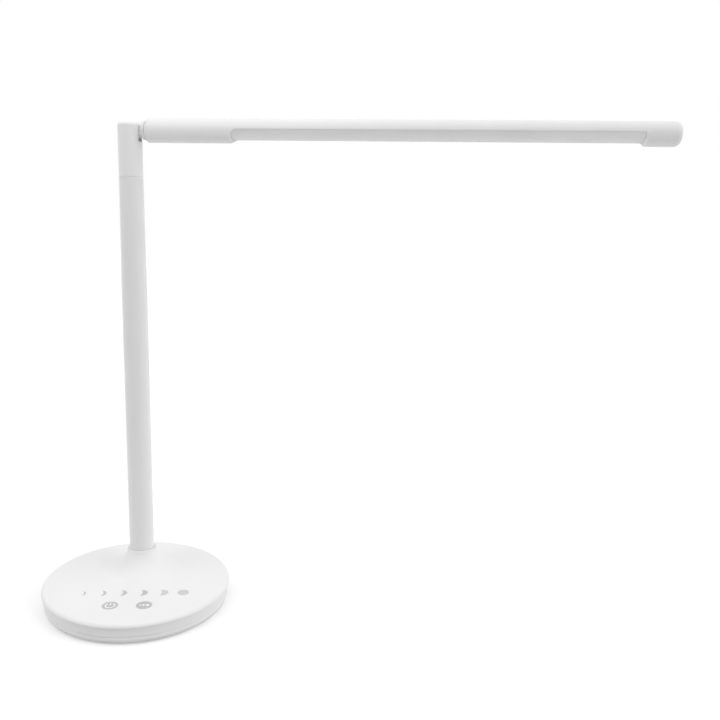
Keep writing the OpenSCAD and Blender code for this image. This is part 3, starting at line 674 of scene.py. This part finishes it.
def pan_shell():
    """The pan: a bellied wall with a drawn-in shoulder, which leaves a fine groove at the seam."""
    bm = node_copy("base_pan")
    for level, _ in PAN_INSET[3:-1]:
        parts = list(bm.verts) + list(bm.edges) + list(bm.faces)
        bmesh.ops.bisect_plane(bm, geom=parts, plane_co=(0, 0, level * MM), plane_no=(0, 0, 1),
                               dist=CUT_TOUCH)
    wall = SKIRT_R - (PAN_INSET[0][1] + PAN_MARGIN) * MM
    rim = SKIRT_R - COVER_WALL
    for vert in bm.verts:
        radius = from_middle(vert)
        inside_rim = vert.co.z > PAN_FLOOR and radius < rim
        if radius < wall or inside_rim or vert.co.z > SEAM_Z + NEAR:
            continue
        scale = (SKIRT_R - pan_inset(vert.co.z)) / radius
        vert.co.x *= scale
        vert.co.y *= scale
    piece = as_piece(bm, "pan_shell", moulded)
    soften(piece)
    fit(piece, "base", "shell_white", "base_pan")


# ---------------------------------------------------------------- stem sleeve

SLEEVE_EDGE = 0.3 * MM
SLEEVE_RIM = 0.1 * MM
EDGE_STEPS = 3
FLAT = math.radians(1)


def stem_sleeve():
    """The stem's tube with a fine rounded edge under the head, which catches light at the seam."""
    bm = node_copy("stem_tube")
    bmesh.ops.join_triangles(bm, faces=bm.faces, angle_face_threshold=FLAT,
                             angle_shape_threshold=math.pi)
    top = max(v.co.z for v in bm.verts)
    level = [v for v in bm.verts if top - v.co.z < NEAR]
    reach = max(from_stem(v) for v in level)
    rim = {v for v in level if from_stem(v) > reach - SLEEVE_RIM}
    edge = [e for e in bm.edges if rim.issuperset(e.verts)]
    bmesh.ops.bevel(bm, geom=edge, offset=SLEEVE_EDGE, segments=EDGE_STEPS, profile=0.5,
                    affect="EDGES")
    piece = as_piece(bm, "stem_sleeve", painted)
    soften(piece)
    fit(piece, "stem", "arm_white", "stem_tube")


# ---------------------------------------------------------------- Geometry Nodes helpers

def new_tree(name, sizes):
    """A geometry tree that takes a mesh, its named sizes and its finish, and gives a mesh.

    Returns the tree and the sockets of what it is given.
    """
    tree = bpy.data.node_groups.new(name, "GeometryNodeTree")
    face = tree.interface
    face.new_socket("Geometry", in_out="INPUT", socket_type="NodeSocketGeometry")
    for size in sizes:
        face.new_socket(size, in_out="INPUT", socket_type="NodeSocketFloat")
    face.new_socket("Finish", in_out="INPUT", socket_type="NodeSocketMaterial")
    face.new_socket("Geometry", in_out="OUTPUT", socket_type="NodeSocketGeometry")
    return tree, tree.nodes.new("NodeGroupInput").outputs


def end_tree(tree, parts, finish):
    """Ends a geometry tree: its parts joined, made real and given their finish."""
    join = add(tree, "GeometryNodeJoinGeometry")
    for part in parts:
        feed(tree, join.inputs[0], part)
    real = add(tree, "GeometryNodeRealizeInstances", join.outputs[0])
    coat = add(tree, "GeometryNodeSetMaterial", Geometry=real.outputs[0], Material=finish)
    add(tree, "NodeGroupOutput", coat.outputs[0])


def grow(piece, tree, values):
    """Runs a geometry tree on a piece with its named inputs, and keeps the plain mesh."""
    step = piece.modifiers.new("grow", "NODES")
    step.node_group = tree
    inputs = {item.name: item.identifier for item in tree.interface.items_tree
              if item.in_out == "INPUT"}
    for name, value in values.items():
        step[inputs[name]] = value
    apply_modifiers(piece)


# ---------------------------------------------------------------- grip mat under the base

MAT_LOW, MAT_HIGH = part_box("rubber_mat")
MAT_R = MAT_HIGH[0]

# Sheet: the rounding below, the bevel above, and the border that stays free of studs
MAT_ROUND = 0.5 * MM
MAT_BEVEL = 0.1 * MM
MAT_BORDER = 3 * MM
MAT_STEPS = 128
ROUND_STEPS = 4

# Studs: their drop below the sheet, radii and pitch, their height as a share of the drop,
# which sets their roots in the sheet, and their sides
STUD_DROP = 0.4 * MM
STUD_FOOT = 1.0 * MM
STUD_ROOT = 1.5 * MM
STUD_PITCH = 5.2 * MM
STUD_SUNK = 1.25
STUD_SIDES = 12


def stud_tree():
    """Geometry Nodes: rows of tapered studs over a round sheet, joined to the sheet."""
    tree, given = new_tree("grip_studs", ("Reach", "Pitch", "Foot", "Root", "Drop"))
    across = maths(tree, "CEIL", maths(tree, "DIVIDE", given["Reach"], given["Pitch"]))
    steps = maths(tree, "MULTIPLY", across, 2)
    rows = maths(tree, "ADD", steps, 1)
    span = maths(tree, "MULTIPLY", steps, given["Pitch"])
    grid = add(tree, "GeometryNodeMeshGrid", Size_X=span, Size_Y=span,
               Vertices_X=rows, Vertices_Y=rows)
    place = add(tree, "GeometryNodeInputPosition").outputs[0]
    outside = maths(tree, "GREATER_THAN", measure(tree, "LENGTH", place), given["Reach"])
    points = add(tree, "GeometryNodeDeleteGeometry", Geometry=grid.outputs["Mesh"],
                 Selection=outside)
    stud = add(tree, "GeometryNodeMeshCone", Vertices=STUD_SIDES, Radius_Top=given["Root"],
               Radius_Bottom=given["Foot"],
               Depth=maths(tree, "MULTIPLY", given["Drop"], STUD_SUNK))
    studs = add(tree, "GeometryNodeInstanceOnPoints", Points=points.outputs[0],
                Instance=stud.outputs["Mesh"])
    end_tree(tree, (studs.outputs[0], given["Geometry"]), given["Finish"])
    return tree


def grip_mat():
    """The rubber mat: a sheet with a rounded edge that stands on rows of low studs."""
    bm = bmesh.new()
    low, high = MAT_LOW[2] + STUD_DROP, MAT_HIGH[2]
    rounding = [(MAT_R - MAT_ROUND * (1 - math.sin(a)), low + MAT_ROUND * (1 - math.cos(a)))
                for a in quarter_turn(ROUND_STEPS)]
    top = [(MAT_R, high - MAT_BEVEL), (MAT_R - MAT_BEVEL, high)]
    angles = [2 * math.pi * i / MAT_STEPS for i in range(MAT_STEPS)]
    rings = [upright_ring(bm, radius, z, angles)
             for radius, z in [(MAT_R - MAT_BORDER, low)] + rounding + top]
    for ring, other in zip(rings, rings[1:]):
        close_ring(bm, ring, other)
    bm.faces.new(reversed(rings[0]))
    bm.faces.new(rings[-1])
    bmesh.ops.recalc_face_normals(bm, faces=bm.faces)
    piece = as_piece(bm, "grip_mat", rubber)
    grow(piece, stud_tree(), {"Reach": MAT_R - MAT_BORDER, "Pitch": STUD_PITCH,
                              "Foot": STUD_FOOT, "Root": STUD_ROOT, "Drop": STUD_DROP,
                              "Finish": rubber})
    soften(piece)
    fit(piece, "base", "mat_rubber", "rubber_mat")


# ---------------------------------------------------------------- contacts in the charging socket

SOCKET_LOW, SOCKET_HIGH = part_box("charge_socket")
TONGUE_DEPTH = 1.8 * MM
TONGUE_THICK = 0.7 * MM
CONTACTS = 10
CONTACT_PITCH = 0.55 * MM
CONTACT_WIDE = 0.28 * MM
CONTACT_LONG = 3.6 * MM
CONTACT_PROUD = 0.06 * MM
CONTACT_BACK = 0.2 * MM


def contact_tree():
    """Geometry Nodes: a row of flat contacts on each face of the socket's tongue."""
    tree, given = new_tree("contact_rows", ("Pitch", "Width", "Length", "Proud", "Thickness"))

    def vector(*parts):
        return add(tree, "ShaderNodeCombineXYZ", *parts).outputs[0]

    thick = maths(tree, "MULTIPLY", given["Proud"], 2)
    bar = add(tree, "GeometryNodeMeshCube", Size=vector(given["Width"], given["Length"], thick))
    start = maths(tree, "MULTIPLY", given["Pitch"], -(CONTACTS - 1) / 2)
    rows = []
    for side in (-0.5, 0.5):
        height = maths(tree, "MULTIPLY", given["Thickness"], side)
        row = add(tree, "GeometryNodeMeshLine", Count=CONTACTS,
                  Start_Location=vector(start, 0, height), Offset=vector(given["Pitch"], 0, 0))
        placed = add(tree, "GeometryNodeInstanceOnPoints", Points=row.outputs[0],
                     Instance=bar.outputs["Mesh"])
        rows.append(placed.outputs[0])
    end_tree(tree, rows, given["Finish"])
    return tree


def socket_contacts():
    """Gilt contacts on both faces of the charging socket's tongue."""
    piece = as_piece(bmesh.new(), "socket_contacts", brass)
    grow(piece, contact_tree(), {"Pitch": CONTACT_PITCH, "Width": CONTACT_WIDE,
                                 "Length": CONTACT_LONG, "Proud": CONTACT_PROUD,
                                 "Thickness": TONGUE_THICK, "Finish": brass})
    back = SOCKET_HIGH.y - TONGUE_DEPTH - CONTACT_LONG / 2 - CONTACT_BACK
    piece.data.transform(Matrix.Translation((0, back, (SOCKET_LOW.z + SOCKET_HIGH.z) / 2)))
    fit(piece, "base", "brass")


# ---------------------------------------------------------------- printed marks on the keys

PRINT_LIFT = 0.01 * MM
PRINT_THICK = 0.04 * MM

# Power sign: its ring, the gap to each side of the upright stroke, and the stroke
RING_OUTER = 4.0 * MM
RING_INNER = 3.0 * MM
RING_GAP = math.radians(36)
RING_STEPS = 64
STROKE_HALF = 0.5 * MM
STROKE_LOW = 0.6 * MM
STROKE_TOP = 4.3 * MM

# Mode sign: dots as (place across, radius)
MODE_DOTS = ((-3.1 * MM, 0.8 * MM), (-0.6 * MM, 1.1 * MM), (2.6 * MM, 1.4 * MM))
DOT_STEPS = 40


def flat_ring(bm, centre, outer, inner, start, end, steps):
    """A flat arc band about centre, from angle start to end."""
    rows = []
    for i in range(steps + 1):
        a = start + (end - start) * i / steps
        spoke = Vector((math.cos(a), math.sin(a), 0))
        rows.append((bm.verts.new(centre + spoke * outer), bm.verts.new(centre + spoke * inner)))
    for (a, b), (c, d) in zip(rows, rows[1:]):
        bm.faces.new((a, c, d, b))


def raised_print(bm, name):
    """Thickens flat faces into a thin layer of print on the key."""
    faces = list(bm.faces)
    rim = [edge for edge in bm.edges if edge.is_boundary]
    rise = Vector((0, 0, PRINT_THICK))
    top = {vert: bm.verts.new(vert.co + rise) for vert in list(bm.verts)}
    for face in faces:
        bm.faces.new([top[vert] for vert in face.verts])
    for a, b in [edge.verts for edge in rim]:
        bm.faces.new((a, b, top[b], top[a]))
    bmesh.ops.recalc_face_normals(bm, faces=bm.faces)
    fit(as_piece(bm, name, print_white), "base", "shell_white")


def key_top(node):
    """Centre of a key's face, just above it."""
    low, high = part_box(node)
    return Vector(((low[0] + high[0]) / 2, (low[1] + high[1]) / 2, high[2] + PRINT_LIFT))


def power_symbol():
    """Open ring with an upright stroke, the common on and off sign."""
    bm = bmesh.new()
    centre = key_top("power_key")
    up = math.pi / 2
    flat_ring(bm, centre, RING_OUTER, RING_INNER, up + RING_GAP, up + 2 * math.pi - RING_GAP,
              RING_STEPS)
    corners = ((-STROKE_HALF, STROKE_LOW), (STROKE_HALF, STROKE_LOW),
               (STROKE_HALF, STROKE_TOP), (-STROKE_HALF, STROKE_TOP))
    bm.faces.new([bm.verts.new(centre + Vector((x, y, 0))) for x, y in corners])
    raised_print(bm, "power_symbol")


def mode_symbol():
    """Three round dots of growing size for the light's modes."""
    bm = bmesh.new()
    centre = key_top("mode_key")
    for x, radius in MODE_DOTS:
        place = Matrix.Translation(centre + Vector((x, 0, 0)))
        bmesh.ops.create_circle(bm, cap_ends=True, radius=radius, segments=DOT_STEPS, matrix=place)
    raised_print(bm, "mode_symbol")


bar_shell()
bar_lens()
base_shell()
pan_shell()
stem_sleeve()
grip_mat()
socket_contacts()
power_symbol()
mode_symbol()


# ---------------------------------------------------------------- stage, light and camera

FLOOR_REACH = 6.0
FLOOR_COLOUR = (0.68, 0.68, 0.68, 1)
FLOOR_GLOW = 0.38
WHITE = (1, 1, 1, 1)

# Light tent: its gain, its even level, its pale back wall and its fall towards the right
TENT_GAIN = 1.2
TENT_LEVEL = 0.2
TENT_BACK = 0.45
TENT_RIGHT = -0.1

# Soft boxes of the tent: direction, cosine where each starts and where it is full, strength.
# The first is in front above, then come the left and right ones, and the last is the tent's
# dark opening in front.
SOFT_BOXES = [
    ((0, -1.2, 1), 0.244, 0.544, 1.32),
    ((-1, -0.1, 0.5), 0.69, 0.99, 0.43),
    ((1, -0.1, 0.5), 0.69, 0.99, 1.15),
    ((0, -1, 0.085), 0.3, 1.0, -1.5),
]

# Small lamp: its power, its size, where it aims along the bar, and its place from there
LAMP_WATTS = 0.08
LAMP_SIZE = 0.12
LAMP_AIM = 0.045
LAMP_AWAY = Vector((-0.02, -0.17, 0.19))

# Camera: place in metres, turns in radians, lens and sensor in millimetres
CAMERA_PLACE = Vector((0.11828, -0.63520, 0.32813))
CAMERA_YAW = 0.05351
CAMERA_PITCH = 0.18441
CAMERA_ROLL = 0.01367
CAMERA_LENS = 40.95
CAMERA_SENSOR = 36
CAMERA_SHIFT = (0.04850, -0.01376)
CAMERA_FAR = 50


def background_rays(tree):
    """1 for rays that show the background: straight, in a reflection or through glass."""
    path = add(tree, "ShaderNodeLightPath").outputs
    turned = maths(tree, "MAXIMUM", path["Is Glossy Ray"], path["Is Transmission Ray"])
    return maths(tree, "MAXIMUM", path["Is Camera Ray"], turned)


def stage_floor():
    """A wide pale floor that shows white to the camera and keeps the lamp's shadow."""
    mat, tree, shader = new_material("floor_white")
    shader.inputs["Base Color"].default_value = FLOOR_COLOUR
    shader.inputs["Roughness"].default_value = 0.9
    shader.inputs["Specular IOR Level"].default_value = 0.1
    shader.inputs["Emission Color"].default_value = WHITE
    glow = maths(tree, "MULTIPLY", background_rays(tree), FLOOR_GLOW)
    feed(tree, shader.inputs["Emission Strength"], glow)
    bm = bmesh.new()
    s = FLOOR_REACH
    bm.faces.new([bm.verts.new((x, y, 0)) for x, y in ((-s, -s), (s, -s), (s, s), (-s, s))])
    floor = as_piece(bm, "floor", mat)


def stage_tent():
    """A plain light tent: soft boxes in front above and at both sides, a pale back wall."""
    world = bpy.data.worlds.new("light_tent")
    bpy.context.scene.world = world
    world.use_nodes = True
    tree = world.node_tree
    tree.nodes.clear()
    ray = add(tree, "ShaderNodeTexCoord").outputs["Generated"]

    def towards(direction):
        return measure(tree, "DOT_PRODUCT", ray, direction)

    back = maths(tree, "MAXIMUM", towards((0, 1, 0)), 0)
    level = maths(tree, "ADD", maths(tree, "MULTIPLY", back, TENT_BACK), TENT_LEVEL)
    level = maths(tree, "ADD", level, towards((TENT_RIGHT, 0, 0)))
    for direction, start, full, strength in SOFT_BOXES:
        box = add(tree, "ShaderNodeMapRange", Value=towards(Vector(direction).normalized()),
                  From_Min=start, From_Max=full, To_Max=1)
        box.interpolation_type = "SMOOTHSTEP"
        level = maths(tree, "ADD", level, maths(tree, "MULTIPLY", box.outputs["Result"], strength))
    level = maths(tree, "MULTIPLY", maths(tree, "MAXIMUM", level, 0), TENT_GAIN)

    light = add(tree, "ShaderNodeBackground", Strength=level)
    shown = add(tree, "ShaderNodeBackground", Color=WHITE)
    mix = add(tree, "ShaderNodeMixShader", background_rays(tree), light.outputs[0],
              shown.outputs[0])
    add(tree, "ShaderNodeOutputWorld", Surface=mix.outputs[0])


def stage_lamp():
    """A small soft lamp in front above the hinge, which lifts the near end of the light bar."""
    data = bpy.data.lights.new("hinge_lamp", "AREA")
    data.shape = "DISK"
    data.size = LAMP_SIZE
    data.energy = LAMP_WATTS
    lamp = bpy.data.objects.new("hinge_lamp", data)
    place = BAR_START + BAR_AXIS * LAMP_AIM + LAMP_AWAY
    turn = LAMP_AWAY.to_track_quat("Z", "Y").to_matrix().to_4x4()
    lamp.matrix_world = Matrix.Translation(place) @ turn
    bpy.context.scene.collection.objects.link(lamp)


def stage_camera():
    """The camera, a little below the light bar's height, looking slightly down."""
    data = bpy.data.cameras.new("camera")
    data.sensor_width = CAMERA_SENSOR
    data.lens = CAMERA_LENS
    data.shift_x, data.shift_y = CAMERA_SHIFT
    data.clip_end = CAMERA_FAR
    level = math.cos(CAMERA_PITCH)
    ahead = Vector((math.sin(CAMERA_YAW) * level, math.cos(CAMERA_YAW) * level,
                    -math.sin(CAMERA_PITCH)))
    right = Vector((math.cos(CAMERA_YAW), -math.sin(CAMERA_YAW), 0))
    up = right.cross(ahead)
    rolled_right = right * math.cos(CAMERA_ROLL) + up * math.sin(CAMERA_ROLL)
    rolled_up = up * math.cos(CAMERA_ROLL) - right * math.sin(CAMERA_ROLL)
    turn = Matrix((rolled_right, rolled_up, -ahead)).transposed().to_4x4()
    cam = bpy.data.objects.new("camera", data)
    cam.matrix_world = Matrix.Translation(CAMERA_PLACE) @ turn
    bpy.context.scene.collection.objects.link(cam)
    bpy.context.scene.camera = cam


stage_floor()
stage_tent()
stage_lamp()
stage_camera()
bpy.context.scene.view_settings.view_transform = "Standard"

bpy.context.view_layer.update()
